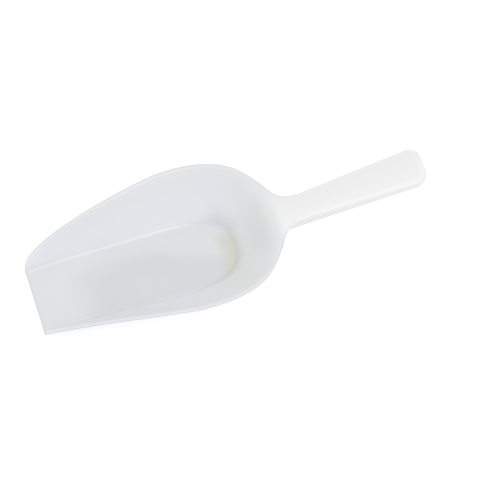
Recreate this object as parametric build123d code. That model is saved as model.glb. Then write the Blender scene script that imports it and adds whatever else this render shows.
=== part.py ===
from build123d import *
import os
from math import atan, cos, pi, radians, sin, tan

# A flat-bottomed ice scoop, moulded in one shot in white polypropylene.
#
# X runs from the lip towards the end of the handle, Y across and Z up. The origin is the middle
# of the flat underside. The scoop is the same on both sides of the XZ plane. Plan positions are
# given as distances from the lip and turned into X by from_lip().
#
# The moulding is kept as four regions that meet face to face: the floor plate, the flared wall
# around it, the web that joins the wall to the handle, and the handle, an upside-down channel.

os.makedirs("parts", exist_ok=True)

# ---- Driving dimensions, millimetres and degrees ----

overall_length = 280.0          # lip to the end of the handle

base_length = 145.0             # flat underside, lip to its round back
base_lip_width = 52.0
base_width = 54.5               # at its widest
base_widest_at = 100.0          # from the lip, where the sides turn into the round back
base_roundness = 0.68           # 0.55 is an ellipse, more is squarer

bowl_length = 172.5             # lip to the back of the mouth
bowl_depth = 31.5               # underside to the rim at the back
mouth_lip_width = 87.3          # the flared sides carried up to the rim's height at the lip
mouth_width = 114.2
mouth_widest_at = 106.8
mouth_roundness = 0.70
side_straightness = 0.565       # share of each side that runs straight from the lip
side_end_reach = 0.25           # curve handle at each side's widest place, a share of the rest

rim_shoulder = (30.0, 20.35)    # from the lip and above the underside, where the rim levels off
rim_shoulder_slope = 14.8       # degrees, the rim's rise there
rim_lip_reach = 10.1            # curve handles of the rim's side line: straight up at the lip,
rim_shoulder_reach = (11.4, 37.0)   # before and after the shoulder,
rim_back_reach = 61.0           # and level at the back

wall = 2.1                      # square to the flared wall
floor_thickness = 2.0
lip_thickness = 1.2             # the floor thins towards the lip
lip_ramp = 26.0                 # over this length

neck_end = 197.0                # from the lip, where the web has narrowed into the handle
neck_leaves = 0.55              # where on each back curve of the mouth the web's edge leaves it
neck_leave_reach = 28.5         # how far the web's edge keeps the rim's direction
neck_end_reach = 25.2           # how far it keeps the handle's direction
neck_plate = 2.4

handle_neck_width = 21.2        # at neck_end
handle_end_width = 29.1
handle_rise = 8.75              # degrees above the level rim
handle_bend_start = 184.5       # from the lip, where the top line leaves the rim's level
handle_bend_radius = 60.0
handle_corner_radius = 8.5
handle_plate = 2.4
handle_wall = 2.2
skirt_neck_depth = 8.7          # depth of the channel at neck_end
skirt_end_depth = 5.8

# ---- Worked out from them ----

lip_x = -base_length / 2
wall_run = wall / cos(atan((mouth_width - base_width) / 2 / bowl_depth))
beyond = 20.0                   # cutting bodies run this far past what they cut
above = 4.0                     # the bowl's bodies run this far past the rim before it is cut


def from_lip(distance):
    """X of a place given as its distance from the lip."""
    return lip_x + distance


def bowl_outline(height, inset, forward):
    """Plan outline of the bowl at one height: straight front, long sides and a round back.

    Every number is mixed from the base's and the mouth's by height, so the walls are straight
    up their flare. inset moves the sides and the back inwards, and forward carries the sides
    past the lip.
    """
    share = height / bowl_depth

    def mix(base, mouth):
        return base + (mouth - base) * share

    lip_y = mix(base_lip_width, mouth_lip_width) / 2 - inset
    side_y = mix(base_width, mouth_width) / 2 - inset
    widest = mix(base_widest_at, mouth_widest_at)
    back = mix(base_length, bowl_length) - inset
    roundness = mix(base_roundness, mouth_roundness)
    splay = (side_y - lip_y) / widest
    run = side_straightness * widest
    ahead = (-forward, lip_y - splay * forward)
    side = [(0, lip_y), (run, lip_y + splay * run), (widest - side_end_reach * (widest - run), side_y),
            (widest, side_y)]
    turn = [(widest, side_y), (widest + roundness * (back - widest), side_y),
            (back, roundness * side_y), (back, 0)]

    def left(point):
        return (from_lip(point[0]), point[1], height)

    def right(point):
        return (from_lip(point[0]), -point[1], height)

    edges = [Line(right(ahead), left(ahead))]
    if forward:
        edges.append(Line(left(ahead), left(side[0])))
    edges.append(Bezier(*[left(point) for point in side]))
    edges.append(Bezier(*[left(point) for point in turn]))
    edges.append(Bezier(*[right(point) for point in reversed(turn)]))
    edges.append(Bezier(*[right(point) for point in reversed(side)]))
    if forward:
        edges.append(Line(right(side[0]), right(ahead)))
    return make_face(edges)


def bowl_body(inset, forward):
    """The solid inside the flared sides, from the underside to a little above the rim."""
    top = bowl_depth + above
    return loft([bowl_outline(0, inset, forward), bowl_outline(top, inset, forward)], ruled=True)


def side_solid(edges, width):
    """A region drawn in the XZ plane, carried the same way to both sides."""
    return extrude(make_face(edges), amount=width, dir=(0, 1, 0), both=True)


def above_rim():
    """Everything above the rim's line, which climbs from the lip and is level at the back."""
    lip = (lip_x, lip_thickness)
    shoulder = (from_lip(rim_shoulder[0]), rim_shoulder[1])
    back = (from_lip(bowl_length), bowl_depth)
    slope = radians(rim_shoulder_slope)
    before, after = rim_shoulder_reach

    def point(x, z):
        return (x, 0, z)

    def along_shoulder(reach):
        return point(shoulder[0] + reach * cos(slope), shoulder[1] + reach * sin(slope))

    climb = Bezier(point(*lip), point(lip[0], lip[1] + rim_lip_reach), along_shoulder(-before),
                   point(*shoulder))
    level = Bezier(point(*shoulder), along_shoulder(after), point(back[0] - rim_back_reach, back[1]),
                   point(*back))
    top = bowl_depth + 2 * above
    close = Polyline(point(*back), point(back[0] + beyond, back[1]), point(back[0] + beyond, top),
                     point(lip[0] - beyond, top), point(lip[0] - beyond, lip[1]), point(*lip))
    return side_solid([climb, level] + close.edges(), mouth_width)


def floor_slab():
    """Everything under the floor's inner face, which slopes down to the thin lip."""
    back_x = from_lip(bowl_length) + beyond
    section = Polyline((lip_x, 0, -beyond), (lip_x, 0, lip_thickness),
                       (from_lip(lip_ramp), 0, floor_thickness), (back_x, 0, floor_thickness),
                       (back_x, 0, -beyond), (lip_x, 0, -beyond))
    return side_solid(section.edges(), mouth_width)


def mouth_back_curve():
    """One back curve of the mouth's outline, from the widest place to the middle."""
    side_y = mouth_width / 2
    run = mouth_roundness * (bowl_length - mouth_widest_at)
    return Bezier((from_lip(mouth_widest_at), side_y), (from_lip(mouth_widest_at + run), side_y),
                  (from_lip(bowl_length), mouth_roundness * side_y), (from_lip(bowl_length), 0))


def handle_half_width(distance):
    """Half the handle's width at a distance from the lip."""
    share = (distance - neck_end) / (overall_length - neck_end)
    return (handle_neck_width + (handle_end_width - handle_neck_width) * share) / 2


def top_point(distance, drop):
    """Where the rising stretch of the handle's top line, lowered by drop, has a distance."""
    angle = radians(handle_rise)
    bend = handle_bend_radius + drop
    start_x = handle_bend_start + bend * sin(angle)
    start_z = bowl_depth + handle_bend_radius - bend * cos(angle)
    return (from_lip(distance), 0, start_z + (distance - start_x) * tan(angle))


def under_handle_top(drop):
    """Everything under the handle's top line lowered by drop: level, a bend, then the rise."""
    angle = radians(handle_rise)
    bend = handle_bend_radius + drop
    centre_x = from_lip(handle_bend_start)
    centre_z = bowl_depth + handle_bend_radius

    def on_bend(turned):
        return (centre_x + bend * sin(turned), 0, centre_z - bend * cos(turned))

    first = (from_lip(base_length), 0, bowl_depth - drop)
    last = top_point(overall_length + beyond, drop)
    line = [Line(first, on_bend(0)), ThreePointArc(on_bend(0), on_bend(angle / 2), on_bend(angle)),
            Line(on_bend(angle), last)]
    close = Polyline(last, (last[0], 0, 0), (first[0], 0, 0), first)
    return side_solid(line + close.edges(), mouth_width)


def under_skirt():
    """Everything under the channel's lower edge, a straight line from neck to end."""
    neck = top_point(neck_end, 0)
    end = top_point(overall_length, 0)
    neck_z = neck[2] - skirt_neck_depth
    slope = (end[2] - skirt_end_depth - neck_z) / (end[0] - neck[0])
    start_x = from_lip(base_length)
    stop_x = end[0] + beyond
    start_z = neck_z - slope * (neck[0] - start_x)
    stop_z = neck_z + slope * (stop_x - neck[0])
    section = Polyline((start_x, 0, start_z), (stop_x, 0, stop_z), (stop_x, 0, -beyond),
                       (start_x, 0, -beyond), close=True)
    return side_solid(section.edges(), mouth_width)


def handle_plan(inset):
    """Plan of the straight, tapered handle, carried forward into the bowl."""
    start = from_lip(base_length)
    end = from_lip(overall_length - inset)
    near = handle_half_width(base_length) - inset
    far = handle_half_width(overall_length) - inset
    face = make_face(Polyline((start, near), (end, far), (end, -far), (start, -near), close=True))
    corners = face.vertices().sort_by(Axis.X)[-2:]
    return fillet(corners, handle_corner_radius - inset)


def web_plan():
    """Plan of the web: each edge leaves the rim along it and ends along the handle's side."""
    back = mouth_back_curve()
    leave = back @ neck_leaves
    along = back % neck_leaves
    taper = (handle_end_width - handle_neck_width) / 2 / (overall_length - neck_end)
    end_x = from_lip(neck_end)
    end_y = handle_half_width(neck_end)
    edge = [(leave.X, leave.Y),
            (leave.X + neck_leave_reach * along.X, leave.Y + neck_leave_reach * along.Y),
            (end_x - neck_end_reach, end_y - neck_end_reach * taper), (end_x, end_y)]
    other = [(x, -y) for x, y in edge]
    return make_face([Bezier(*edge), Line(edge[3], other[3]), Bezier(*reversed(other)),
                      Line(other[0], edge[0])])


def upright(plan):
    """A plan face carried from the underside's level to above everything."""
    return extrude(plan, amount=mouth_width, dir=(0, 0, 1))


def save(node, solid):
    """Write one region of the moulding as a STEP file."""
    solid.label = node
    export_step(solid, f"parts/{node}.step")
    print(node, round(solid.volume, 1), [round(size, 2) for size in solid.bounding_box().size])


# ---- The bowl: an outer body, hollowed, and cut to the rim's line ----

outer = bowl_body(0, 0)
inner = bowl_body(wall_run, beyond)
slab = floor_slab()

bowl_floor = outer & slab
bowl_wall = outer - above_rim() - inner - slab

# ---- The web and the handle: a top plate and a channel, less the bowl ----

web = (upright(web_plan()) & under_handle_top(0)) - under_handle_top(neck_plate)
channel = (upright(handle_plan(0)) & under_handle_top(0)) - under_skirt()
hollow = upright(handle_plan(handle_wall)) & under_handle_top(handle_plate)
moulding = (web + (channel - hollow)) - outer
split = Plane((from_lip(neck_end), 0, 0), z_dir=(1, 0, 0))

handle = moulding.split(split, keep=Keep.TOP)
neck = moulding.split(split, keep=Keep.BOTTOM)

save("bowl_floor", bowl_floor)
save("bowl_wall", bowl_wall)
save("neck", neck)
save("handle", handle)
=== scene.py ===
"""Looks of a moulded white ice scoop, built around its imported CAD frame.

The scoop is one moulding. Two surfaces show it: the bowl with its rim and the web behind it, and
the handle, an upside-down channel whose two skirts run forward to the bowl's back. Lengths in this
file are metres, in the CAD's own frame: X from the lip to the handle's end, Y across, Z up.
"""

from math import atan, cos, radians, sin, tan

import bmesh
import bpy
import numpy as np
from bpy.props import FloatProperty, FloatVectorProperty, PointerProperty
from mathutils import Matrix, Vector


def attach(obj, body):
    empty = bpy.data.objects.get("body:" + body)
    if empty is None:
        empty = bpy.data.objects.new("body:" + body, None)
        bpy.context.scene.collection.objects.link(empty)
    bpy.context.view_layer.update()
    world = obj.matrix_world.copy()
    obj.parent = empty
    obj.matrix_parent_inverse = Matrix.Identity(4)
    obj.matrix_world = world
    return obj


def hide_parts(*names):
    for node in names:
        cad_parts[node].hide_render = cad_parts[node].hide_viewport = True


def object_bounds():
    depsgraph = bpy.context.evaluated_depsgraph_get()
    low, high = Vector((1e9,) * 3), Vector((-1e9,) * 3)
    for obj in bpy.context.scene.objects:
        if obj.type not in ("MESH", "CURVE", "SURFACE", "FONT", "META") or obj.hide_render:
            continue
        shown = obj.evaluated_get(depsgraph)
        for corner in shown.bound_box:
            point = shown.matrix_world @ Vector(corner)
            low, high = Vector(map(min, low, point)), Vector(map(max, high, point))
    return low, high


bl_info = {
    "name": "Ice scoop maker",
    "version": (1, 0, 0),
    "blender": (4, 5, 0),
    "location": "3D View > Sidebar > Ice scoop",
    "description": "Builds a one-piece moulded ice scoop and its plain studio",
    "category": "Add Mesh",
}

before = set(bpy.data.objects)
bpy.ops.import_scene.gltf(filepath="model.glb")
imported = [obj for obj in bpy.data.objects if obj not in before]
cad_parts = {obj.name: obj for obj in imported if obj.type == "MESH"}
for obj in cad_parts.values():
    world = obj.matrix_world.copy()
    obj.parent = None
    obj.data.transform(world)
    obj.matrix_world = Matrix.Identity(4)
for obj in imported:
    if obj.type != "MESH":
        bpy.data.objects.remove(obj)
CAD_LOW, CAD_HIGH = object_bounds()
LIP_X = CAD_LOW.x
TOTAL = CAD_HIGH.x - CAD_LOW.x      # lip to the end of the handle
MM = 0.001

HIDDEN_DEPTH = 0.4 * MM             # how deep the skirts' fronts reach into the bowl's wall
HIDDEN_START = 12.0 * MM            # and how far before the back of the mouth they may start
MERGE = 0.004 * MM                  # points closer than this are one point
SHARP = radians(38)                 # edges turned more than this are drawn sharp
ROUND_OF_HEIGHT = 0.4               # the most of the wall's height that a rounding takes
BASE_OF_HEIGHT = 0.35               # the same, for the rounding under the wall
ROLL_UP, ROLL_IN = 0.5, 0.62        # the most of the wall and of the top that the roll takes
EDGE_OF_SIDE = 0.98                 # the most of the side face that its rounded edge takes
SIDE_ENDS = 0.45                    # the side face ends above this share of the rim's height
THROAT_OF_ROLL, THROAT_OF_WEB = 0.9, 0.6    # the throat's radius, and the most of the web it takes
FLARE_LOSS = 1.8                    # how fast the web's side turns upright along its edge
# The foot's lightness is a painted highlight. It grows towards the back and turns into painted shade
# round the back.
GAIN_FROM, GAIN_OVER = 0.4, 0.3     # shares of the base's length where the foot gets lighter
BACK_FROM, BACK_OVER = 1.02, 0.4    # places round the outline where it takes the back's lightness
FLOOR_HALF = 3.0                    # half the side of the studio floor, metres
FLOOR_GAP = 0.1 * MM                # the studio floor lies this far below the scoop

# Where the plastic's tints change: each pair is where a change starts and where it ends. Along is
# a distance from the lip, round is counted from the centre of the round back, behind is counted
# from the back of the mouth, across is Y, up is Z, and to_rim is counted from the level rim. The
# foot, corner and throat spans place painted shade, the middle spans the floor's painted grey
# shade, the warm spans a painted warm reflection, and the low span the partly painted cool light.
BACK_ROUND = (3.0 * MM, 21.0 * MM)
TURN_ROUND = (9.0 * MM, 24.0 * MM)
END_ROUND = (4.0 * MM, 20.0 * MM)
FLOOR_UP = (2.4 * MM, 4.5 * MM)
MIDDLE_ALONG = (15.0 * MM, 55.0 * MM)
MIDDLE_ACROSS = (2.0 * MM, 24.0 * MM)
MIDDLE_SLANT_ALONG = 85.0 * MM      # past here the floor's grey middle slants to one side
MIDDLE_SLANT = 0.4
WARM_RADIUS = (11.5 * MM, 22.5 * MM)
WARM_ACROSS = (1.0 * MM, 18.0 * MM)
FOOT_UP = (2.2 * MM, 3.2 * MM)
FOOT_FADE_UP = (3.5 * MM, 9.5 * MM)
CORNER_FADE_UP = (4.0 * MM, 17.0 * MM)
CORNER_ACROSS = (2.0 * MM, 16.0 * MM)
LOW_UP = (6.0 * MM, 26.0 * MM)
THICK_BEHIND = (-4.0 * MM, 6.0 * MM)
RIM_TO_RIM = (-2.2 * MM, -0.5 * MM)
BACK_BEHIND = (-45.0 * MM, -15.0 * MM)
BACK_SLANT = 0.6                    # the back wall's tint starts later on the far side
THROAT_BEHIND = (-34.0 * MM, -12.0 * MM)
THROAT_ACROSS = (8.0 * MM, 26.0 * MM)
THROAT_UP = (10.0 * MM, 18.0 * MM)
THROAT_TO_RIM = (-6.0 * MM, -0.5 * MM)
CLOUDS_SHOW = (0.35, 0.75)          # noise values between which the clouds come up
STREAKS_SHOW, WORN_SHOW = (0.60, 0.78), (0.45, 0.70)    # and the rubs, and the worn patches
FINE, BROAD, CLOUDS, WORN = 1400.0, 260.0, 22.0, 30.0   # lumps per metre of each noise
STREAKS = (60.0, 900.0, 300.0)      # the same along X, Y and Z: rubs run along the scoop
FINE_SHARE, BROAD_SHARE = 0.6, 0.4  # how much of each noise is in the grain
CLOUD_ROUGH, RUB_ROUGH = 0.10, 0.12     # roughness that the clouds and the rubs add
ROUGH_BACK = 0.05                   # taken off again, so the mean roughness stays as set
BUMP = 0.5                          # how strongly the grain shows
INDEX = 1.49                        # polypropylene's refractive index
# Painted light: the handle is drawn lighter towards -Y and darker towards +Y.
HANDLE_PAINTED_SIDE_LIGHT = -2.6            # change of the handle's lightness per metre across


def length(name, description, millimetres):
    """A length property, in metres, with its default given in millimetres."""
    return FloatProperty(name=name, description=description, default=millimetres * MM, unit="LENGTH")


def angle(name, description, degrees):
    """An angle property with its default given in degrees."""
    return FloatProperty(name=name, description=description, default=radians(degrees), unit="ROTATION")


def share(name, description, value):
    """A property between 0 and 1."""
    return FloatProperty(name=name, description=description, default=value, min=0, max=1,
                         subtype="FACTOR")


def tone(name, place, value):
    """A lightness property: 1 leaves the tint as it is."""
    return FloatProperty(name=name, description="Lightness of " + place, default=value)


def colour(name, description, value):
    """A linear colour property."""
    return FloatVectorProperty(name=name, description=description, default=value, size=3,
                               min=0, max=1, subtype="COLOR")


# ---- Sizes and colours a user would change ----

class BowlSizes(bpy.types.PropertyGroup):
    """Sizes of the bowl. Plan positions are distances from the lip."""

    base_length: length("Base length", "Flat underside, lip to its round back", 145.0)
    base_lip_width: length("Base width at the lip", "Across the front of the underside", 52.0)
    base_width: length("Base width", "Underside at its widest", 54.5)
    base_widest_at: length("Base widest at", "Where the underside starts to round off", 100.0)
    base_roundness: share("Base roundness", "0.55 is an ellipse, more is squarer", 0.68)
    mouth_length: length("Mouth length", "Lip to the back of the mouth", 172.5)
    depth: length("Depth", "Underside to the level rim", 31.5)
    mouth_lip_width: length("Mouth width at the lip", "Flare carried up to the rim's height", 87.3)
    mouth_width: length("Mouth width", "Mouth at its widest", 114.2)
    mouth_widest_at: length("Mouth widest at", "Where the mouth starts to round off", 106.8)
    mouth_roundness: share("Mouth roundness", "0.55 is an ellipse, more is squarer", 0.70)
    straightness: share("Straightness", "Share of each side that runs straight from the lip", 0.565)
    end_reach: share("Side end reach", "Curve handle at the widest place, a share of the rest", 0.25)
    shoulder_at: length("Shoulder at", "Where the climbing rim levels off", 30.0)
    shoulder_height: length("Shoulder height", "Rim height there", 20.35)
    shoulder_slope: angle("Shoulder slope", "Rise of the rim there", 14.8)
    lip_reach: length("Lip reach", "How far the rim climbs straight up at the lip", 10.1)
    shoulder_before: length("Reach before shoulder", "Curve handle on the lip's side", 11.4)
    shoulder_after: length("Reach after shoulder", "Curve handle on the back's side", 37.0)
    back_reach: length("Back reach", "How long the rim stays level at the back", 61.0)
    wall: length("Wall", "Square to the flared wall", 2.1)
    floor: length("Floor", "Thickness of the floor", 2.0)
    lip: length("Lip", "Thickness of the floor at the lip", 1.2)
    ramp: length("Ramp", "Length over which the floor thins towards the lip", 26.0)
    lip_nose: length("Lip nose", "Depth of the lip's rounded edge", 0.5)
    foot_radius: length("Foot radius", "Rounding between the floor and the walls", 1.7)
    base_radius: length("Base radius", "Rounding under the walls", 1.3)
    rim_radius: length("Rim radius", "Rounding of the rim's edges", 0.9)


class HandleSizes(bpy.types.PropertyGroup):
    """Sizes of the web and the handle. Distances are from the lip."""

    neck_end: length("Neck end", "Where the web has narrowed into the handle", 197.0)
    leaves_at: share("Leaves at", "Place on the mouth's back curve where the web's edge leaves", 0.55)
    leave_reach: length("Leave reach", "How far the web's edge keeps the rim's direction", 28.5)
    end_reach: length("End reach", "How far it keeps the handle's direction", 25.2)
    plate: length("Plate", "Thickness of the web and of the handle's top", 2.4)
    roll: length("Roll", "How far the bowl's back wall rolls over into the web", 9.0)
    roll_starts: share("Roll starts", "Place on the mouth's back curve where the roll starts", 0.25)
    neck_width: length("Neck width", "Handle's width at the neck's end", 21.2)
    end_width: length("End width", "Handle's width at its end", 29.1)
    rise: angle("Rise", "Handle's slope above the rim", 8.75)
    bend_at: length("Bend at", "Where the top line leaves the rim's level", 184.5)
    bend_radius: length("Bend radius", "Radius of that bend", 60.0)
    corner: length("Corner", "Plan radius of the end's corners", 8.5)
    edge: length("Edge", "Rounding along the handle's top edges", 2.2)
    wall: length("Skirt", "Thickness of the skirts", 2.2)
    neck_skirt: length("Neck skirt", "Depth of the channel at the neck's end", 8.7)
    end_skirt: length("End skirt", "Depth of the channel at the handle's end", 5.8)


class PlasticFinish(bpy.types.PropertyGroup):
    """Colours and surface of the white plastic. Several of its tints and lightnesses are painted
    shade, painted highlights or painted light.
    """

    plain: colour("Plain", "The plastic where it is thick, on the handle", (0.868, 0.868, 0.872))
    wall_tint: colour("Wall tint", "Thin walls, which let cool light through", (0.780, 0.798, 0.832))
    # Partly the plastic's colour, partly painted cool light coming through the low walls.
    low_wall_tint_and_cool_light: colour("Low wall tint", "The walls just above the floor", (0.812, 0.830, 0.878))
    back_tint: colour("Back tint", "The bowl's back wall", (0.795, 0.80, 0.80))
    # Painted shade: the darker colour laid on the back wall's foot, on its far corner and on the wall
    # below the neck.
    painted_shade_tint: colour("Foot tint", "The foot of the back wall", (0.66, 0.675, 0.685))
    rim_tint: colour("Rim tint", "The rim", (0.78, 0.79, 0.805))
    floor_tint: colour("Floor tint", "The bowl's floor", (0.765, 0.775, 0.795))
    # Painted shade: the floor's grey middle.
    middle_shade_tint: colour("Middle tint", "The middle of the floor", (0.70, 0.705, 0.725))
    # Painted warm reflection on the floor's round back end. It is yellower and darker than the floor.
    warm_reflection_tint: colour("Warm tint", "The floor's round back end", (0.67, 0.68, 0.595))
    cloud_tint: colour("Cloud tint", "Faint clouds in the plastic", (0.90, 0.90, 0.89))
    rub_tint: colour("Rub tint", "Light rubs from use", (0.92, 0.92, 0.92))
    cloudiness: share("Cloudiness", "How much the clouds show", 0.10)
    wear: share("Wear", "How much the rubs show", 0.18)
    # How strongly the painted shade lies on the back wall's foot, on its far corner and on the wall
    # below the neck.
    foot_shade: share("Foot shade", "How much the foot of the back wall is tinted", 0.55)
    corner_shade: share("Corner shade", "The same, more widely, at its far corner", 0.50)
    throat_shade: share("Throat shade", "How much the wall below the neck is tinted", 0.26)
    # Painted highlight along the walls' foot fillet, growing towards the back, and painted shade at the
    # back wall's foot.
    fillet: tone("Foot fillet", "the wall's foot", 1.04)
    back_foot_shade: tone("Back fillet", "the back wall's foot", 0.97)
    foot_highlight_gain: share("Fillet gain", "Added to the foot's lightness towards the back", 0.03)
    lip_shade: share("Lip shade", "How much darker the lip's edge is", 0.07)
    lip_shade_length: length("Lip shade length", "How far that reaches from the edge", 1.5)
    # Painted shade on the rim's outer rounding and its side face.
    rim_edge_shade: tone("Rim edge", "the rim's outside", 0.86)
    # Painted shade on the bowl's outside, which keeps it from washing out in the floor's light.
    outside: tone("Outside", "the bowl's outside", 0.87)
    # Painted highlight on the handle's rounded top edges, and painted shade on its skirts.
    top_edge_highlight: tone("Top edge", "the handle's edges", 1.055)
    skirt: tone("Skirt", "the handle's skirts", 0.84)
    roughness: share("Roughness", "Of the moulded surface", 0.32)
    grain: length("Grain", "Height of the fine mould grain", 0.02)


class StudioSettings(bpy.types.PropertyGroup):
    """The plain studio."""

    floor_colour: colour("Floor colour", "The pale floor", (0.84, 0.84, 0.84))
    floor_glow: share("Floor glow", "Light coming up through the floor", 0.36)
    sky: FloatProperty(name="Sky", description="Strength of the even light", default=0.84)
    key: FloatProperty(name="Key", description="Power of the soft light", default=4.0, unit="POWER")
    key_size: length("Key size", "Side of the soft light", 300.0)
    key_place: FloatVectorProperty(name="Key place", description="Where the soft light hangs",
                                   default=(0.23, -0.5, 1.5), size=3, unit="LENGTH")
    azimuth: angle("Azimuth", "Camera's direction round the scoop", -17.684)
    elevation: angle("Elevation", "Camera's height above the horizon", 61.5)
    distance: length("Distance", "Camera to the point it looks at", 1804.8)
    lens: FloatProperty(name="Lens", description="Focal length on a 36 mm sensor", default=187.2)
    look_at: FloatVectorProperty(name="Look at", description="The point the camera looks at",
                                 default=(0.08081, -0.005868, 0.0), size=3, unit="LENGTH")


# ---- Curves and surfaces, all as whole arrays ----

def bezier(points, at):
    """A cubic Bezier curve: four control values mixed by the Bernstein weights of at."""
    back = 1 - at
    return (back ** 3 * points[0] + 3 * back ** 2 * at * points[1] + 3 * back * at ** 2 * points[2]
            + at ** 3 * points[3])


def smooth(value):
    """0 below 0, 1 above 1, and an even S-curve between."""
    value = np.clip(value, 0, 1)
    return value * value * (3 - 2 * value)


def corner(start, middle, end, steps):
    """A rounded corner: the quadratic curve from start to end that is drawn towards middle.

    The points are stacks of rows, and the result has one more axis, of steps places.
    """
    at = np.linspace(0, 1, steps)[None, :, None]
    start, middle, end = start[:, None], middle[:, None], end[:, None]
    return (1 - at) ** 2 * start + 2 * at * (1 - at) * middle + at ** 2 * end


def straight(start, end, steps, ends=False):
    """Places along the straight line from start to end, without its ends unless asked for."""
    at = np.linspace(0, 1, steps) if ends else np.linspace(0, 1, steps + 2)[1:-1]
    return start[:, None] + (end - start)[:, None] * at[None, :, None]


def towards(start, end, distance):
    """The place a distance from start on the way to end."""
    way = end - start
    size = np.linalg.norm(way, axis=-1, keepdims=True)
    return start + way / np.maximum(size, 1e-9) * distance[:, None]


def apart(a, b):
    """Distance between matching points."""
    return np.linalg.norm(a - b, axis=-1)


def bowl_side(s, place, height, inset):
    """Point on the bowl's flared side.

    place runs from 0 at the lip to 1 where the side ends, and on to 2 at the middle of the round
    back. Every control value is mixed from the base's and the mouth's by height over depth, so the
    wall is straight up its flare. inset moves the sides and the back inwards.
    """
    up = height / s.depth

    def mix(base, mouth):
        return base + (mouth - base) * up

    lip_y = mix(s.base_lip_width, s.mouth_lip_width) / 2 - inset
    side_y = mix(s.base_width, s.mouth_width) / 2 - inset
    widest = mix(s.base_widest_at, s.mouth_widest_at)
    back = mix(s.base_length, s.mouth_length) - inset
    roundness = mix(s.base_roundness, s.mouth_roundness)
    run = s.straightness * widest
    on_side = np.clip(place, 0, 1)
    on_turn = np.clip(place - 1, 0, 1)
    side_x = bezier((0 * widest, run, widest - s.end_reach * (widest - run), widest), on_side)
    side_w = bezier((lip_y, lip_y + (side_y - lip_y) * s.straightness, side_y, side_y), on_side)
    turn_x = bezier((widest, widest + roundness * (back - widest), back, back), on_turn)
    turn_w = bezier((side_y, side_y, roundness * side_y, 0 * side_y), on_turn)
    turning = place > 1
    return np.stack([np.where(turning, turn_x, side_x), np.where(turning, turn_w, side_w),
                     height + 0 * place], axis=-1)


def rim_line(s):
    """Heights of the rim along X, as two Bezier curves: a climb from the lip, then a level run."""
    at = np.linspace(0, 1, 600)
    along = np.array((cos(s.shoulder_slope), sin(s.shoulder_slope)))
    lip = np.array((0.0, s.lip))
    shoulder = np.array((s.shoulder_at, s.shoulder_height))
    back = np.array((s.mouth_length, s.depth))
    climb = bezier([p[None] for p in (lip, lip + (0, s.lip_reach), shoulder - s.shoulder_before * along,
                                      shoulder)], at[:, None])
    level = bezier([p[None] for p in (shoulder, shoulder + s.shoulder_after * along,
                                      back - (s.back_reach, 0), back)], at[:, None])
    line = np.concatenate([climb, level[1:]])
    return line[:, 0], line[:, 1]


def rim_height(s, place, inset, line):
    """Height at which the flared side meets the rim's line, found by halving the range."""
    low = 0 * place
    high = s.depth + 0 * place
    for _ in range(40):
        middle = (low + high) / 2
        under = middle < np.interp(bowl_side(s, place, middle, inset)[:, 0], *line)
        low = np.where(under, middle, low)
        high = np.where(under, high, middle)
    return (low + high) / 2


def floor_height(s, x):
    """Height of the floor's inner face: thin at the lip, full thickness past the ramp."""
    return s.lip + (s.floor - s.lip) * smooth(x / s.ramp)


def top_line(h, depth, x):
    """Height of the web's and the handle's top: level, an arc, then a straight rise."""
    start = h.bend_at
    leave = start + h.bend_radius * sin(h.rise)
    on_arc = np.clip(x - start, 0, leave - start)
    arc = h.bend_radius - np.sqrt(h.bend_radius ** 2 - on_arc ** 2)
    return depth + arc + np.maximum(x - leave, 0) * tan(h.rise)


def half_width(h, x):
    """Half the handle's width at a distance from the lip."""
    run = (x - h.neck_end) / (TOTAL - h.neck_end)
    return (h.neck_width + (h.end_width - h.neck_width) * run) / 2


def side_taper(h):
    """How much the handle's side moves out per length."""
    return (h.end_width - h.neck_width) / 2 / (TOTAL - h.neck_end)


def flat(points, z):
    """The same plan places at other heights."""
    moved = points.copy()
    moved[..., 2] = z
    return moved


def lengths(line):
    """Distance run along a line of points, from its start."""
    steps = np.linalg.norm(np.diff(line, axis=0), axis=1)
    return np.concatenate([[0], np.cumsum(steps)])


# ---- The two pieces as grids: rows go round the outline, columns across the section ----

def lightness(columns, marked, rows):
    """How light the plastic is at each section point: 1, or what is given for a group of columns.
    The marks are painted shade and painted highlights.

    A mark is the two values at the ends of its group, and is eased over one column there.
    """
    values = np.concatenate([np.linspace(*marked.get(name, (1.0, 1.0)), group.shape[1])
                             for name, group in columns.items()])
    padded = np.pad(values, 1, mode="edge")
    values = (padded[:-2] + 2 * values + padded[2:]) / 4
    return np.repeat(values[None], rows, axis=0)


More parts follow.
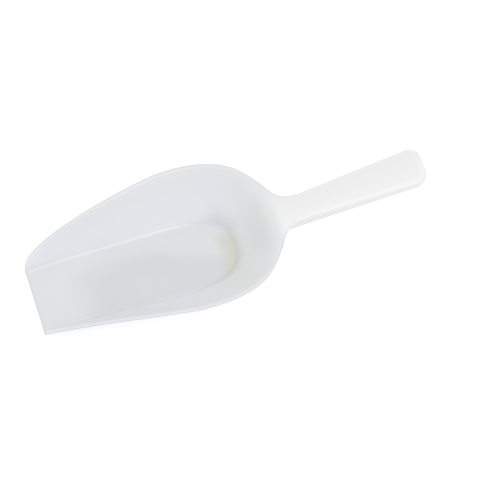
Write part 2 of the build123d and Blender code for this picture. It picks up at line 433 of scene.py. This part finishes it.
def bowl_grid(s, h, finish):
    """Half of the bowl and the web as rows of section points, and how light each point is.

    Each row belongs to one place on the outline. Its section runs from the middle of the floor out
    to the wall's foot, up the wall, over the rim, down the outside and back under the base. Behind
    the bowl the rim widens: the section goes on over the web to its edge, or to the cut where the
    handle starts, and comes back below it to the outer wall.
    """
    side_rows = 96
    side = np.linspace(0, 1, side_rows) ** 2
    leave = 1 + h.leaves_at
    fine = np.linspace(h.leaves_at, 1, 400)
    side_y = s.mouth_width / 2
    turn = s.mouth_roundness * (s.mouth_length - s.mouth_widest_at)
    back_curve = np.stack([bezier((s.mouth_widest_at, s.mouth_widest_at + turn, s.mouth_length,
                                   s.mouth_length), fine),
                           bezier((side_y, side_y, s.mouth_roundness * side_y, 0), fine)], axis=-1)
    run_share = lengths(back_curve) / lengths(back_curve)[-1]
    cut_from = 0.92     # the share of the mouth's run behind the web that is given to its edge
    turn_off = 1 + np.interp(cut_from, run_share, fine)
    place = np.concatenate([side, np.linspace(1, leave, 40)[1:],
                            np.linspace(leave, turn_off, 48)[1:], np.linspace(turn_off, 2, 16)[1:]])
    run = s.wall / cos(atan((s.mouth_width - s.base_width) / 2 / s.depth))
    line = rim_line(s)

    # Foot of the inner wall, and the inner and outer rim.
    foot = bowl_side(s, place, s.floor + 0 * place, run)
    foot = bowl_side(s, place, floor_height(s, foot[:, 0]), run)
    inside = bowl_side(s, place, rim_height(s, place, run, line), run)
    inside[:, 2] = np.maximum(inside[:, 2], foot[:, 2])
    outside = bowl_side(s, place, rim_height(s, place, 0, line), 0)
    base = bowl_side(s, place, 0 * place, 0)

    # The web's edge in plan, leaving the rim along it and ending along the handle's side.
    along = (back_curve[1] - back_curve[0]) / np.linalg.norm(back_curve[1] - back_curve[0])
    end_y = half_width(h, h.neck_end)
    taper = side_taper(h)
    edge_at = np.linspace(0, 1, 400)[:, None]
    edge = bezier([np.array(p)[None] for p in (back_curve[0], back_curve[0] + h.leave_reach * along,
                                               (h.neck_end - h.end_reach, end_y - h.end_reach * taper),
                                               (h.neck_end, end_y))], edge_at)
    edge_run = lengths(edge)
    edge_way = np.gradient(edge, axis=0)
    edge_way /= np.linalg.norm(edge_way, axis=1, keepdims=True)
    inwards = np.stack([edge_way[:, 1], -edge_way[:, 0]], axis=-1)

    # Rows behind the leaving place are spread over the web's edge, then over the cut.
    webbed = place > leave
    mouth_run = np.interp(place - 1, fine, run_share)
    on_edge = np.clip(mouth_run / cut_from, 0, 1) * webbed
    on_edge -= on_edge ** 2 * (1 - on_edge)
    on_cut = np.clip((mouth_run - cut_from) / (1 - cut_from), 0, 1) * webbed
    at_edge = on_edge * edge_run[-1]
    edge_xy = np.stack([np.interp(at_edge, edge_run, edge[:, i]) for i in (0, 1)], axis=-1)
    edge_in = np.stack([np.interp(at_edge, edge_run, inwards[:, i]) for i in (0, 1)], axis=-1)
    edge_in /= np.linalg.norm(edge_in, axis=1, keepdims=True)

    # Rounding of the rim's edges. It grows along the web to the handle's.
    wall_up = inside[:, 2] - foot[:, 2]
    rim_in = np.minimum(s.rim_radius, ROUND_OF_HEIGHT * wall_up)
    rim_out = np.minimum(s.rim_radius, ROUND_OF_HEIGHT * outside[:, 2])
    edge_radius = rim_out + (h.edge - rim_out) * smooth(on_edge)
    cut = np.stack([h.neck_end + 0 * place, (end_y - h.edge) * (1 - on_cut), 0 * place], axis=-1)
    web_xy = np.concatenate([edge_xy + edge_in * edge_radius[:, None], 0 * place[:, None]], axis=1)
    past = place > turn_off
    last = place >= turn_off
    web_top = np.where(last[:, None], cut, web_xy)
    web_top = flat(web_top, top_line(h, s.depth, web_top[:, 0]))
    web_side = np.concatenate([edge_xy, 0 * place[:, None]], axis=1)
    web_side = np.where(past[:, None], cut, web_side)
    web_side = flat(web_side, top_line(h, s.depth, web_side[:, 0]))

    # Outer edge of the top, of the side face, and where the underside of the web meets the wall.
    flare = np.where(webbed, 1 - smooth(FLARE_LOSS * on_edge), 1.0)
    top_end = np.where(webbed[:, None], web_top, towards(outside, inside, rim_out))
    side_top = np.where(webbed[:, None], web_side, outside)
    side_end = np.maximum(outside[:, 2] - h.plate, SIDE_ENDS * outside[:, 2])
    wall_low = bowl_side(s, place, side_end, 0)
    plate_wall = bowl_side(s, place, s.depth - h.plate + 0 * place, 0)
    plate_wall = np.where(webbed[:, None], plate_wall, wall_low)
    drop = plate_wall - outside
    side_low = side_top + drop * flare[:, None]
    side_low = flat(side_low, np.where(webbed, side_top[:, 2] - h.plate, wall_low[:, 2]))
    rounded = np.where(past, 0.0, edge_radius)
    rounded = np.minimum(rounded, EDGE_OF_SIDE * apart(side_top, side_low))
    side_start = towards(side_top, side_low, rounded)

    # The roll from the inner wall into the rim's top, or into the web.
    rolled = smooth((place - 1 - h.roll_starts) / (1 - h.roll_starts))
    roll = rim_in + (h.roll - rim_in) * rolled
    roll_start = towards(inside, foot, np.minimum(roll, ROLL_UP * apart(inside, foot)))
    roll_end = towards(inside, flat(top_end, inside[:, 2]),
                       np.minimum(roll, ROLL_IN * apart(inside, top_end)))

    # The foot and the base edge.
    middle_share = 0.84     # how far along its foot's distance each row meets the floor's middle
    middle_x = np.where(place <= 1, foot[:, 0] * middle_share, 0)
    middle_x = np.where(place > 1, middle_x[side_rows - 1], middle_x)
    middle = np.stack([middle_x, 0 * place, floor_height(s, middle_x)], axis=-1)
    foot_radius = np.minimum(s.foot_radius, ROUND_OF_HEIGHT * wall_up)
    foot_in = towards(foot, middle, foot_radius)
    foot_in = flat(foot_in, floor_height(s, foot_in[:, 0]))
    foot_up = towards(foot, inside, foot_radius)
    base_radius = np.minimum(s.base_radius, BASE_OF_HEIGHT * outside[:, 2])
    base_up = towards(base, outside, base_radius)
    under_middle = flat(middle, 0)
    base_in = towards(base, under_middle, base_radius)

    floor = straight(middle, foot_in, 16, ends=True)
    floor[..., 2] = floor_height(s, floor[..., 0])
    top = straight(roll_end, top_end, 12)
    top[..., 2] = np.where(webbed[:, None], top_line(h, s.depth, top[..., 0]), top[..., 2])
    throat = np.minimum(THROAT_OF_ROLL * h.roll * rolled * webbed,
                        THROAT_OF_WEB * apart(side_low, plate_wall))
    throat_out = towards(plate_wall, flat(side_low, plate_wall[:, 2]), throat)
    throat_down = towards(plate_wall, base, throat)
    web_under = straight(side_low, throat_out, 12)
    web_under[..., 2] = np.where(webbed[:, None], top_line(h, s.depth, web_under[..., 0]) - h.plate,
                                 web_under[..., 2])
    columns = {
        "floor": floor,
        "foot": corner(foot_in, foot, foot_up, 7)[:, 1:],
        "wall": straight(foot_up, roll_start, 22),
        "roll": corner(roll_start, inside, roll_end, 10),
        "top": top,
        "edge": corner(top_end, side_top, side_start, 7),
        "side": straight(side_start, side_low, 2),
        "side_low": side_low[:, None],
        "web_under": web_under,
        "throat": corner(throat_out, plate_wall, throat_down, 9),
        "outer_wall": straight(throat_down, base_up, 15),
        "base_edge": corner(base_up, base, base_in, 7),
        "underside": straight(base_in, under_middle, 15),
        "under_middle": under_middle[:, None],
    }
    grid = np.concatenate(list(columns.values()), axis=1)

    # How light each place is: the rim's outside, the web's edge, the foot and the lip are marked.
    # The rim's outside, the bowl's outside, the web's side and the lip get painted shade, the web's
    # edge a painted highlight, and the walls' foot a painted highlight that turns to painted shade at
    # the back.
    # Painted shade on the outside of the bowl and under the web.
    outer = {name: (finish.outside, finish.outside) for name in
             ("web_under", "throat", "outer_wall", "base_edge", "underside", "under_middle")}
    rim_edge_shade, skirt = (finish.rim_edge_shade, finish.rim_edge_shade), (finish.skirt, finish.skirt)
    light = lightness(columns, {**outer, "edge": rim_edge_shade, "side": rim_edge_shade, "side_low": rim_edge_shade},
                      len(grid))
    # Behind the bowl the web's edge takes the same painted highlight, and its side the same painted
    # shade.
    web_light = lightness(columns, {**outer, "edge": (finish.top_edge_highlight, finish.skirt), "side": skirt,
                                    "side_low": skirt}, len(grid))
    light += (web_light - light) * smooth(on_edge)[:, None]
    light = np.where(past[:, None], 1.0, light)
    # The walls' foot fillet gets a painted highlight that grows towards the back and turns into painted
    # shade round the back wall's foot.
    gain = smooth((foot[:, 0] / s.base_length - GAIN_FROM) / GAIN_OVER)
    fillet = finish.fillet + finish.foot_highlight_gain * gain
    foot_highlight_and_shade = fillet + (finish.back_foot_shade - fillet) * smooth((place - BACK_FROM) / BACK_OVER)
    on_foot = lightness(columns, {"foot": (2.0, 2.0)}, len(grid)) - 1
    light += on_foot * (foot_highlight_and_shade - 1)[:, None]
    light -= finish.lip_shade * np.clip(1 - np.abs(grid[..., 0]) / finish.lip_shade_length, 0, 1)

    # The lip's rounded nose: rows in front of the first, drawn in to a thin line.
    grid[..., 0] += s.lip_nose * np.clip(1 - grid[..., 0] / s.ramp, 0, 1)
    turned = np.radians(np.linspace(78, 13, 6))[:, None]   # degrees: 90 is the front of the nose
    first = grid[0][None]
    nose = np.stack([first[..., 0] - s.lip_nose * np.sin(turned),
                     first[..., 1] * (1 - s.lip_nose * (1 - np.cos(turned)) / s.base_lip_width * 2),
                     s.lip / 2 + (first[..., 2] - s.lip / 2) * np.cos(turned)], axis=-1)
    nose_light = np.repeat(light[:1], len(nose), axis=0)
    return np.concatenate([nose, grid]), np.concatenate([nose_light, light])


def inside_wall(s, y, height):
    """Distance from the lip of a place just inside the back wall's outer face.

    It is found for a place across and a height, by halving the range round the outline.
    """
    place_low, place_high = 1 + 0 * y, 2 + 0 * y
    for _ in range(40):
        place = (place_low + place_high) / 2
        wide = bowl_side(s, place, height, HIDDEN_DEPTH)[..., 1] > y
        place_low = np.where(wide, place, place_low)
        place_high = np.where(wide, place_high, place)
    return bowl_side(s, place_low, height, HIDDEN_DEPTH)[..., 0]


def handle_grid(s, h, finish):
    """Half of the handle as rows of section points, and how light each point is.

    The rows go along the handle's side, round the corner and across its end. Each section runs from
    the middle of the top out over the rounded edge, down the skirt, up its inside and back under the
    top. In front of the neck's end only the skirts show, below the web, so there the top is sunk
    into the web's thickness. The first row follows the bowl's back wall.
    """
    start = s.mouth_length - HIDDEN_START
    hidden = np.linspace(start, h.neck_end, 24)
    shown = np.linspace(h.neck_end, TOTAL - h.corner, 60)
    bend = np.linspace(0, 1, 22)[1:]
    taper = atan(side_taper(h))
    centre = np.array((TOTAL - h.corner, half_width(h, TOTAL - h.corner) - h.corner / cos(taper)))
    turned = (np.pi / 2 + taper) * (1 - bend)
    out = np.linspace(0, 1, 14)[1:]

    side_x = np.concatenate([hidden, shown])
    side_n = np.array((0.0, 1 / cos(taper)))
    outline = np.concatenate([
        np.stack([side_x, half_width(h, side_x)], axis=-1),
        centre + h.corner * np.stack([np.cos(turned), np.sin(turned)], axis=-1),
        np.stack([TOTAL + 0 * out, centre[1] * (1 - out)], axis=-1)])
    # Sizes that only the build needs: how far the hidden rows are sunk, drawn in and thinned, and
    # the small roundings inside the channel.
    sunk_by = h.plate - 0.2 * MM
    drawn_in = 0.03 * MM
    sunk_edge, sunk_thick = 0.1 * MM, 0.15 * MM
    tip, inner_round = 0.6 * MM, 1.0 * MM
    normal = np.concatenate([
        np.repeat(side_n[None], len(side_x), axis=0),
        np.stack([np.cos(turned), np.sin(turned)], axis=-1),
        np.repeat(np.array((1.0, 0.0))[None], len(out), axis=0)])
    rows = len(outline)
    sunk = np.arange(rows) < len(hidden)

    def inset(distance):
        """Plan places moved inwards from the outline."""
        return outline - normal * np.broadcast_to(distance, (rows,))[:, None]

    def level(plan, z):
        """Plan places with heights."""
        return np.concatenate([plan, (z + 0 * plan[:, 0])[:, None]], axis=1)

    def top(plan):
        """Height of the top at plan places."""
        return top_line(h, s.depth, plan[..., 0]) - np.where(sunk, sunk_by, 0)

    neck_low = top_line(h, s.depth, np.array(h.neck_end)) - h.neck_skirt
    end_low = top_line(h, s.depth, np.array(TOTAL)) - h.end_skirt
    slope = (end_low - neck_low) / (TOTAL - h.neck_end)

    def low(plan):
        """Height of the skirts' lower edge at plan places."""
        return neck_low + slope * (plan[:, 0] - h.neck_end)

    outline[:len(hidden), 1] -= drawn_in * (1 - np.linspace(0, 1, len(hidden)))
    edge = np.where(sunk, sunk_edge, h.edge)
    spine_end = TOTAL - h.end_width / 2
    spine_x = np.minimum(outline[:, 0], spine_end)
    spine = np.stack([spine_x, 0 * spine_x], axis=-1)

    spine_top = level(spine, top(spine))
    top_out = inset(edge)
    top_out3 = level(top_out, top(top_out))
    rim3 = level(outline, top(outline))
    side3 = level(outline, top(outline) - edge)
    low3 = level(outline, low(outline))
    low_up = level(outline, low(outline) + tip)
    low_in = inset(h.wall)
    low_mid = level(inset(h.wall / 2), low(inset(h.wall / 2)))
    low_in3 = level(low_in, low(low_in))
    low_in_up = level(low_in, low(low_in) + tip)
    thick = np.where(sunk, sunk_thick, h.plate)
    under = top(low_in) - thick
    under_corner = level(low_in, under)
    under_down = level(low_in, under - inner_round)
    under_in = inset(h.wall + inner_round)
    under_in3 = level(under_in, top(under_in) - thick)
    under_spine = level(spine, top(spine) - thick)

    columns = {
        "spine": spine_top[:, None],
        "top": straight(spine_top, top_out3, 12),
        "edge": corner(top_out3, rim3, side3, 9),
        "skirt": straight(side3, low_up, 6),
        "tip_outside": corner(low_up, low3, low_mid, 5),
        "tip_inside": corner(low_mid, low_in3, low_in_up, 6)[:, 1:],
        "skirt_inside": straight(low_in_up, under_down, 6),
        "inner_corner": corner(under_down, under_corner, under_in3, 9),
        "under": straight(under_in3, under_spine, 12),
        "under_spine": under_spine[:, None],
    }
    grid = np.concatenate(list(columns.values()), axis=1)
    # Painted highlight on the top's rounded edges, turning into painted shade down the skirts.
    skirt = (finish.skirt, finish.skirt)
    light = lightness(columns, {"edge": (finish.top_edge_highlight, finish.skirt), "skirt": skirt,
                                "tip_outside": skirt, "tip_inside": skirt}, rows)

    # The skirts' front rows reach forward from the neck's end into the bowl's wall.
    front = grid[:len(hidden)]
    reach = (front[..., 0] - start) / (h.neck_end - start)
    ahead = inside_wall(s, front[..., 1], np.minimum(front[..., 2], s.depth))
    front[..., 0] = ahead + (h.neck_end - ahead) * reach
    return grid, light


def moulding(name, grid, light):
    """A closed mesh from half a grid and the lightness of its points.

    The rows are joined by quads, a front cap pairs the two ends of the first section, and the same
    is mirrored in the XZ plane and welded on. Slits that the welding leaves are filled.
    """
    rows, columns = grid.shape[:2]
    index = np.arange(rows * columns).reshape(rows, columns)
    quads = np.stack([index[:-1, :-1], index[1:, :-1], index[1:, 1:], index[:-1, 1:]], axis=-1)
    first = index[0]
    pair = np.arange(columns // 2 - (columns + 1) % 2)
    cap = np.stack([first[pair], first[pair + 1], first[columns - 2 - pair], first[columns - 1 - pair]],
                   axis=-1)
    half = np.concatenate([quads.reshape(-1, 4), cap])
    points = grid.reshape(-1, 3) + (LIP_X, 0, 0)
    mirrored = points * (1, -1, 1)
    faces = np.concatenate([half, half[:, ::-1] + len(points)])
    mesh = bpy.data.meshes.new(name)
    mesh.from_pydata(np.concatenate([points, mirrored]).tolist(), [], faces.tolist())
    # The lightness attribute carries painted shade and painted highlights.
    marks = mesh.attributes.new("lightness", "FLOAT", "POINT")
    marks.data.foreach_set("value", np.tile(light.ravel(), 2))

    solid = bmesh.new()
    solid.from_mesh(mesh)
    bmesh.ops.remove_doubles(solid, verts=solid.verts, dist=MERGE)
    bmesh.ops.dissolve_degenerate(solid, edges=solid.edges, dist=MERGE)
    bmesh.ops.holes_fill(solid, edges=[edge for edge in solid.edges if edge.is_boundary])
    bmesh.ops.recalc_face_normals(solid, faces=solid.faces)
    solid.to_mesh(mesh)
    solid.free()
    mesh.shade_smooth()
    mesh.set_sharp_from_angle(angle=SHARP)
    piece = bpy.data.objects.new(name, mesh)
    bpy.context.collection.objects.link(piece)
    return piece


# ---- The plastic ----

def socket(group, name, kind, direction="INPUT"):
    """Adds a named socket to a node group."""
    group.interface.new_socket(name=name, in_out=direction, socket_type=kind)


def link(tree, source, target):
    """Joins two sockets."""
    tree.links.new(source, target)


def math_node(tree, operation, first, second=0.0):
    """A Math node with sockets or numbers on its two inputs."""
    node = tree.nodes.new("ShaderNodeMath")
    node.operation = operation
    for slot, value in zip(node.inputs, (first, second)):
        if isinstance(value, bpy.types.NodeSocket):
            link(tree, value, slot)
        else:
            slot.default_value = value
    return node.outputs[0]


def ease(tree, value, low, high):
    """A smooth step from 0 at low to 1 at high."""
    node = tree.nodes.new("ShaderNodeMapRange")
    node.interpolation_type = "SMOOTHERSTEP"
    link(tree, value, node.inputs["Value"])
    node.inputs["From Min"].default_value = low
    node.inputs["From Max"].default_value = high
    return node.outputs["Result"]


def noise(tree, vector, scale, detail=2.0, roughness=0.5):
    """A noise pattern with lumps of one over scale."""
    node = tree.nodes.new("ShaderNodeTexNoise")
    link(tree, vector, node.inputs["Vector"])
    node.inputs["Scale"].default_value = scale
    node.inputs["Detail"].default_value = detail
    node.inputs["Roughness"].default_value = roughness
    return node.outputs["Fac"]


def mix_colour(tree, share_of, first, second):
    """Mixes two colours by a mask."""
    node = tree.nodes.new("ShaderNodeMix")
    node.data_type = "RGBA"
    for slot, value in ((node.inputs[0], share_of), (node.inputs[6], first), (node.inputs[7], second)):
        if isinstance(value, bpy.types.NodeSocket):
            link(tree, value, slot)
        else:
            slot.default_value = value
    return node.outputs[2]


def mould_surface():
    """Node group: the fine grain of the mould, faint cloudiness, and light rubs from use.

    The grain is two noises of different size. The clouds are one broad noise. The rubs are a noise
    stretched along the scoop, kept only where a second, broad noise is high.
    """
    group = bpy.data.node_groups.new("Mould surface", "ShaderNodeTree")
    socket(group, "Position", "NodeSocketVector")
    socket(group, "Grain", "NodeSocketFloat", "OUTPUT")
    socket(group, "Clouds", "NodeSocketFloat", "OUTPUT")
    socket(group, "Rubs", "NodeSocketFloat", "OUTPUT")
    start = group.nodes.new("NodeGroupInput").outputs["Position"]
    end = group.nodes.new("NodeGroupOutput")
    grain = math_node(group, "ADD", times(group, noise(group, start, FINE, 3.0), FINE_SHARE),
                      times(group, noise(group, start, BROAD), BROAD_SHARE))
    link(group, grain, end.inputs["Grain"])
    link(group, noise(group, start, CLOUDS, 3.0, 0.55), end.inputs["Clouds"])
    stretch = group.nodes.new("ShaderNodeMapping")
    stretch.inputs["Scale"].default_value = STREAKS
    link(group, start, stretch.inputs["Vector"])
    streaks = ease(group, noise(group, stretch.outputs["Vector"], 1.0, 4.0, 0.6), *STREAKS_SHOW)
    worn = ease(group, noise(group, start, WORN), *WORN_SHOW)
    link(group, times(group, streaks, worn), end.inputs["Rubs"])
    return group


def times(tree, *values):
    """The product of sockets or numbers."""
    product = values[0]
    for value in values[1:]:
        product = math_node(tree, "MULTIPLY", product, value)
    return product


def fade(tree, value, span):
    """A smooth step from 1 at the start of a span to 0 at its end."""
    return math_node(tree, "SUBTRACT", 1.0, ease(tree, value, *span))


def shifted(span, start):
    """A span counted from a start."""
    return (start + span[0], start + span[1])


def place_masks(tree, place, s):
    """Masks that say where each tint lies, worked out from the place on the scoop. Several place
    painted shade, painted light or a painted reflection.
    """
    split = tree.nodes.new("ShaderNodeSeparateXYZ")
    link(tree, place, split.inputs["Vector"])
    x, y, up = split.outputs["X"], split.outputs["Y"], split.outputs["Z"]
    across = math_node(tree, "ABSOLUTE", y)
    along = math_node(tree, "SUBTRACT", x, LIP_X)
    back = LIP_X + s.mouth_length
    centre = s.base_length - s.base_width / 2

    past_centre = math_node(tree, "MAXIMUM", math_node(tree, "SUBTRACT", along, centre), 0.0)
    radius = math_node(tree, "SQRT", math_node(tree, "ADD", times(tree, past_centre, past_centre),
                                               times(tree, across, across)))
    past_slant = math_node(tree, "SUBTRACT", along, MIDDLE_SLANT_ALONG)
    past_slant = math_node(tree, "MAXIMUM", past_slant, 0.0)
    slanted = math_node(tree, "ADD", y, times(tree, MIDDLE_SLANT, past_slant))
    back_x = math_node(tree, "SUBTRACT", x, times(tree, y, BACK_SLANT))
    foot_rise = ease(tree, up, *FOOT_UP)

    masks = {"on_floor": fade(tree, up, FLOOR_UP),
             "low": fade(tree, up, LOW_UP),
             "thick": ease(tree, x, *shifted(THICK_BEHIND, back)),
             "rim": ease(tree, up, *shifted(RIM_TO_RIM, s.depth)),
             "behind": ease(tree, back_x, *shifted(BACK_BEHIND, back))}
    # Painted shade: the floor's grey middle, which slants to one side towards the back.
    masks["middle"] = times(tree, ease(tree, along, *MIDDLE_ALONG), fade(tree, slanted, MIDDLE_ACROSS),
                            masks["on_floor"])
    # Painted warm reflection at the floor's round back end.
    masks["warm"] = times(tree, masks["on_floor"], ease(tree, along, *shifted(END_ROUND, centre)),
                          ease(tree, radius, *WARM_RADIUS), fade(tree, y, WARM_ACROSS))
    # Painted shade at the foot of the back wall, and more widely at its far corner.
    masks["foot"] = times(tree, ease(tree, along, *shifted(BACK_ROUND, centre)),
                          math_node(tree, "SUBTRACT", foot_rise, ease(tree, up, *FOOT_FADE_UP)))
    masks["far_corner"] = times(tree, ease(tree, y, *CORNER_ACROSS),
                                ease(tree, along, *shifted(TURN_ROUND, centre)),
                                math_node(tree, "SUBTRACT", foot_rise, ease(tree, up, *CORNER_FADE_UP)))
    # Painted shade on the back wall below the neck.
    throat_up = math_node(tree, "SUBTRACT", ease(tree, up, *THROAT_UP),
                          ease(tree, up, *shifted(THROAT_TO_RIM, s.depth)))
    masks["throat"] = times(tree, ease(tree, x, *shifted(THROAT_BEHIND, back)),
                            fade(tree, across, THROAT_ACROSS), throat_up)
    # Painted light: the handle gets lighter towards -Y and darker towards +Y.
    masks["handle_side"] = times(tree, masks["thick"], y, HANDLE_PAINTED_SIDE_LIGHT)
    return masks


def scoop_plastic(finish, s):
    """White polypropylene: tinted by place, with mould grain and light rubs. Among the tints are
    painted shade, painted highlights, painted light and a painted warm reflection.
    """
    material = bpy.data.materials.new("white_plastic")
    material.use_nodes = True
    tree = material.node_tree
    shader = tree.nodes["Principled BSDF"]
    place = tree.nodes.new("ShaderNodeTexCoord").outputs["Object"]
    surface = tree.nodes.new("ShaderNodeGroup")
    surface.node_tree = mould_surface()
    link(tree, place, surface.inputs["Position"])
    clouds, rubs = surface.outputs["Clouds"], surface.outputs["Rubs"]
    masks = place_masks(tree, place, s)

    # Each layer is painted over the ones before it: a mask, how strong it is, and its colour.
    # The low walls take a lighter, bluer tint: partly the plastic's colour, partly painted cool light.
    tint = mix_colour(tree, masks["low"], (*finish.wall_tint, 1.0), (*finish.low_wall_tint_and_cool_light, 1.0))
    layers = ((masks["behind"], 1.0, finish.back_tint),
              # Painted shade at the back wall's foot, at its far corner and below the neck.
              (masks["foot"], finish.foot_shade, finish.painted_shade_tint),
              (masks["far_corner"], finish.corner_shade, finish.painted_shade_tint),
              (masks["throat"], finish.throat_shade, finish.painted_shade_tint),
              (masks["on_floor"], 1.0, finish.floor_tint),
              # Painted shade in the floor's middle.
              (masks["middle"], 1.0, finish.middle_shade_tint),
              # Painted warm reflection at the floor's back end.
              (masks["warm"], 1.0, finish.warm_reflection_tint),
              (masks["rim"], 1.0, finish.rim_tint),
              (masks["thick"], 1.0, finish.plain),
              (ease(tree, clouds, *CLOUDS_SHOW), finish.cloudiness, finish.cloud_tint),
              (rubs, finish.wear, finish.rub_tint))
    for mask, strength, layer_colour in layers:
        tint = mix_colour(tree, times(tree, mask, strength), tint, (*layer_colour, 1.0))

    # The lightness attribute holds the mesh's painted shade and painted highlights.
    marked = tree.nodes.new("ShaderNodeAttribute")
    marked.attribute_name = "lightness"
    scale = tree.nodes.new("ShaderNodeVectorMath")
    scale.operation = "SCALE"
    link(tree, tint, scale.inputs[0])
    # The marked lightness and the handle's painted side light scale the tint.
    light = math_node(tree, "ADD", marked.outputs["Fac"], masks["handle_side"])
    link(tree, light, scale.inputs["Scale"])
    link(tree, scale.outputs["Vector"], shader.inputs["Base Color"])

    rough = math_node(tree, "ADD", times(tree, clouds, CLOUD_ROUGH), times(tree, rubs, RUB_ROUGH))
    rough = math_node(tree, "ADD", rough, finish.roughness - ROUGH_BACK)
    link(tree, rough, shader.inputs["Roughness"])
    bump = tree.nodes.new("ShaderNodeBump")
    bump.inputs["Distance"].default_value = finish.grain
    bump.inputs["Strength"].default_value = BUMP
    link(tree, surface.outputs["Grain"], bump.inputs["Height"])
    link(tree, bump.outputs["Normal"], shader.inputs["Normal"])
    shader.inputs["IOR"].default_value = INDEX
    return material


def plastic(s, finish):
    """The plastic, made once."""
    return bpy.data.materials.get("white_plastic") or scoop_plastic(finish, s)


# ---- Operators ----

class SCOOP_OT_bowl(bpy.types.Operator):
    """Build the bowl: floor, flared wall, rolled rim and the web behind it"""

    bl_idname = "scoop.bowl"
    bl_label = "Bowl"

    def execute(self, context):
        s = context.scene.scoop_bowl
        finish = context.scene.scoop_finish
        piece = moulding("bowl", *bowl_grid(s, context.scene.scoop_handle, finish))
        piece.data.materials.append(plastic(s, finish))
        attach(piece, "root")
        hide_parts("bowl_floor", "bowl_wall", "neck")
        return {"FINISHED"}


class SCOOP_OT_handle(bpy.types.Operator):
    """Build the handle: a hollow channel with rounded edges, whose skirts reach the bowl"""

    bl_idname = "scoop.handle"
    bl_label = "Handle"

    def execute(self, context):
        s = context.scene.scoop_bowl
        finish = context.scene.scoop_finish
        piece = moulding("handle_grip", *handle_grid(s, context.scene.scoop_handle, finish))
        piece.data.materials.append(plastic(s, finish))
        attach(piece, "root")
        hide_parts("handle")
        return {"FINISHED"}


def floor_material(studio):
    """Pale matt acrylic, softly lit from below."""
    material = bpy.data.materials.new("pale_floor")
    material.use_nodes = True
    shader = material.node_tree.nodes["Principled BSDF"]
    shader.inputs["Base Color"].default_value = (*studio.floor_colour, 1.0)
    shader.inputs["Roughness"].default_value = 0.9
    shader.inputs["Specular IOR Level"].default_value = 0.1
    shader.inputs["Emission Color"].default_value = (1.0, 1.0, 1.0, 1.0)
    shader.inputs["Emission Strength"].default_value = studio.floor_glow
    return material


def area_light(name, power, size, place, target):
    """A square soft light that faces a point."""
    data = bpy.data.lights.new(name, "AREA")
    data.energy = power
    data.size = size
    lamp = bpy.data.objects.new(name, data)
    lamp.location = place
    lamp.rotation_euler = (Vector(target) - Vector(place)).to_track_quat("-Z", "Y").to_euler()
    bpy.context.collection.objects.link(lamp)


class SCOOP_OT_studio(bpy.types.Operator):
    """Build the pale floor, the soft light and the camera"""

    bl_idname = "scoop.studio"
    bl_label = "Studio"

    def execute(self, context):
        scene = context.scene
        studio = scene.scoop_studio
        half = FLOOR_HALF
        mesh = bpy.data.meshes.new("floor")
        mesh.from_pydata([(-half, -half, 0), (half, -half, 0), (half, half, 0), (-half, half, 0)], [],
                         [(0, 1, 2, 3)])
        mesh.materials.append(floor_material(studio))
        ground = bpy.data.objects.new("floor", mesh)
        ground.location.z = CAD_LOW.z - FLOOR_GAP
        context.collection.objects.link(ground)

        world = bpy.data.worlds.new("soft_sky")
        world.use_nodes = True
        world.node_tree.nodes["Background"].inputs["Color"].default_value = (1.0, 1.0, 1.0, 1.0)
        world.node_tree.nodes["Background"].inputs["Strength"].default_value = studio.sky
        scene.world = world
        area_light("key", studio.key, studio.key_size, studio.key_place, (0.0, 0.0, 0.0))

        data = bpy.data.cameras.new("camera")
        data.lens = studio.lens
        data.sensor_width = 36.0
        data.clip_end = 20.0
        camera = bpy.data.objects.new("camera", data)
        back = Vector((sin(studio.azimuth) * cos(studio.elevation),
                       -cos(studio.azimuth) * cos(studio.elevation), sin(studio.elevation)))
        camera.location = Vector(studio.look_at) + back * studio.distance
        camera.rotation_euler = (radians(90) - studio.elevation, 0.0, studio.azimuth)
        context.collection.objects.link(camera)
        scene.camera = camera
        scene.view_settings.view_transform = "Standard"
        return {"FINISHED"}


class SCOOP_PT_panel(bpy.types.Panel):
    """Lists the scoop's operators and sizes"""

    bl_idname = "SCOOP_PT_panel"
    bl_label = "Ice scoop"
    bl_space_type = "VIEW_3D"
    bl_region_type = "UI"
    bl_category = "Ice scoop"

    def draw(self, context):
        for operator in (SCOOP_OT_bowl, SCOOP_OT_handle, SCOOP_OT_studio):
            self.layout.operator(operator.bl_idname)
        for group in ("scoop_bowl", "scoop_handle", "scoop_finish", "scoop_studio"):
            sizes = getattr(context.scene, group)
            box = self.layout.box()
            for name in sizes.__annotations__:
                box.prop(sizes, name)


CLASSES = (BowlSizes, HandleSizes, PlasticFinish, StudioSettings, SCOOP_OT_bowl, SCOOP_OT_handle,
           SCOOP_OT_studio, SCOOP_PT_panel)


def register():
    """Register the classes and hang the property groups on the scene."""
    for kind in CLASSES:
        bpy.utils.register_class(kind)
    bpy.types.Scene.scoop_bowl = PointerProperty(type=BowlSizes)
    bpy.types.Scene.scoop_handle = PointerProperty(type=HandleSizes)
    bpy.types.Scene.scoop_finish = PointerProperty(type=PlasticFinish)
    bpy.types.Scene.scoop_studio = PointerProperty(type=StudioSettings)


def unregister():
    """Undo register."""
    for name in ("scoop_bowl", "scoop_handle", "scoop_finish", "scoop_studio"):
        delattr(bpy.types.Scene, name)
    for kind in reversed(CLASSES):
        bpy.utils.unregister_class(kind)


def main():
    register()
    bpy.ops.scoop.bowl()
    bpy.ops.scoop.handle()
    bpy.ops.scoop.studio()
    bpy.context.view_layer.update()


if __name__ == "__main__":
    main()
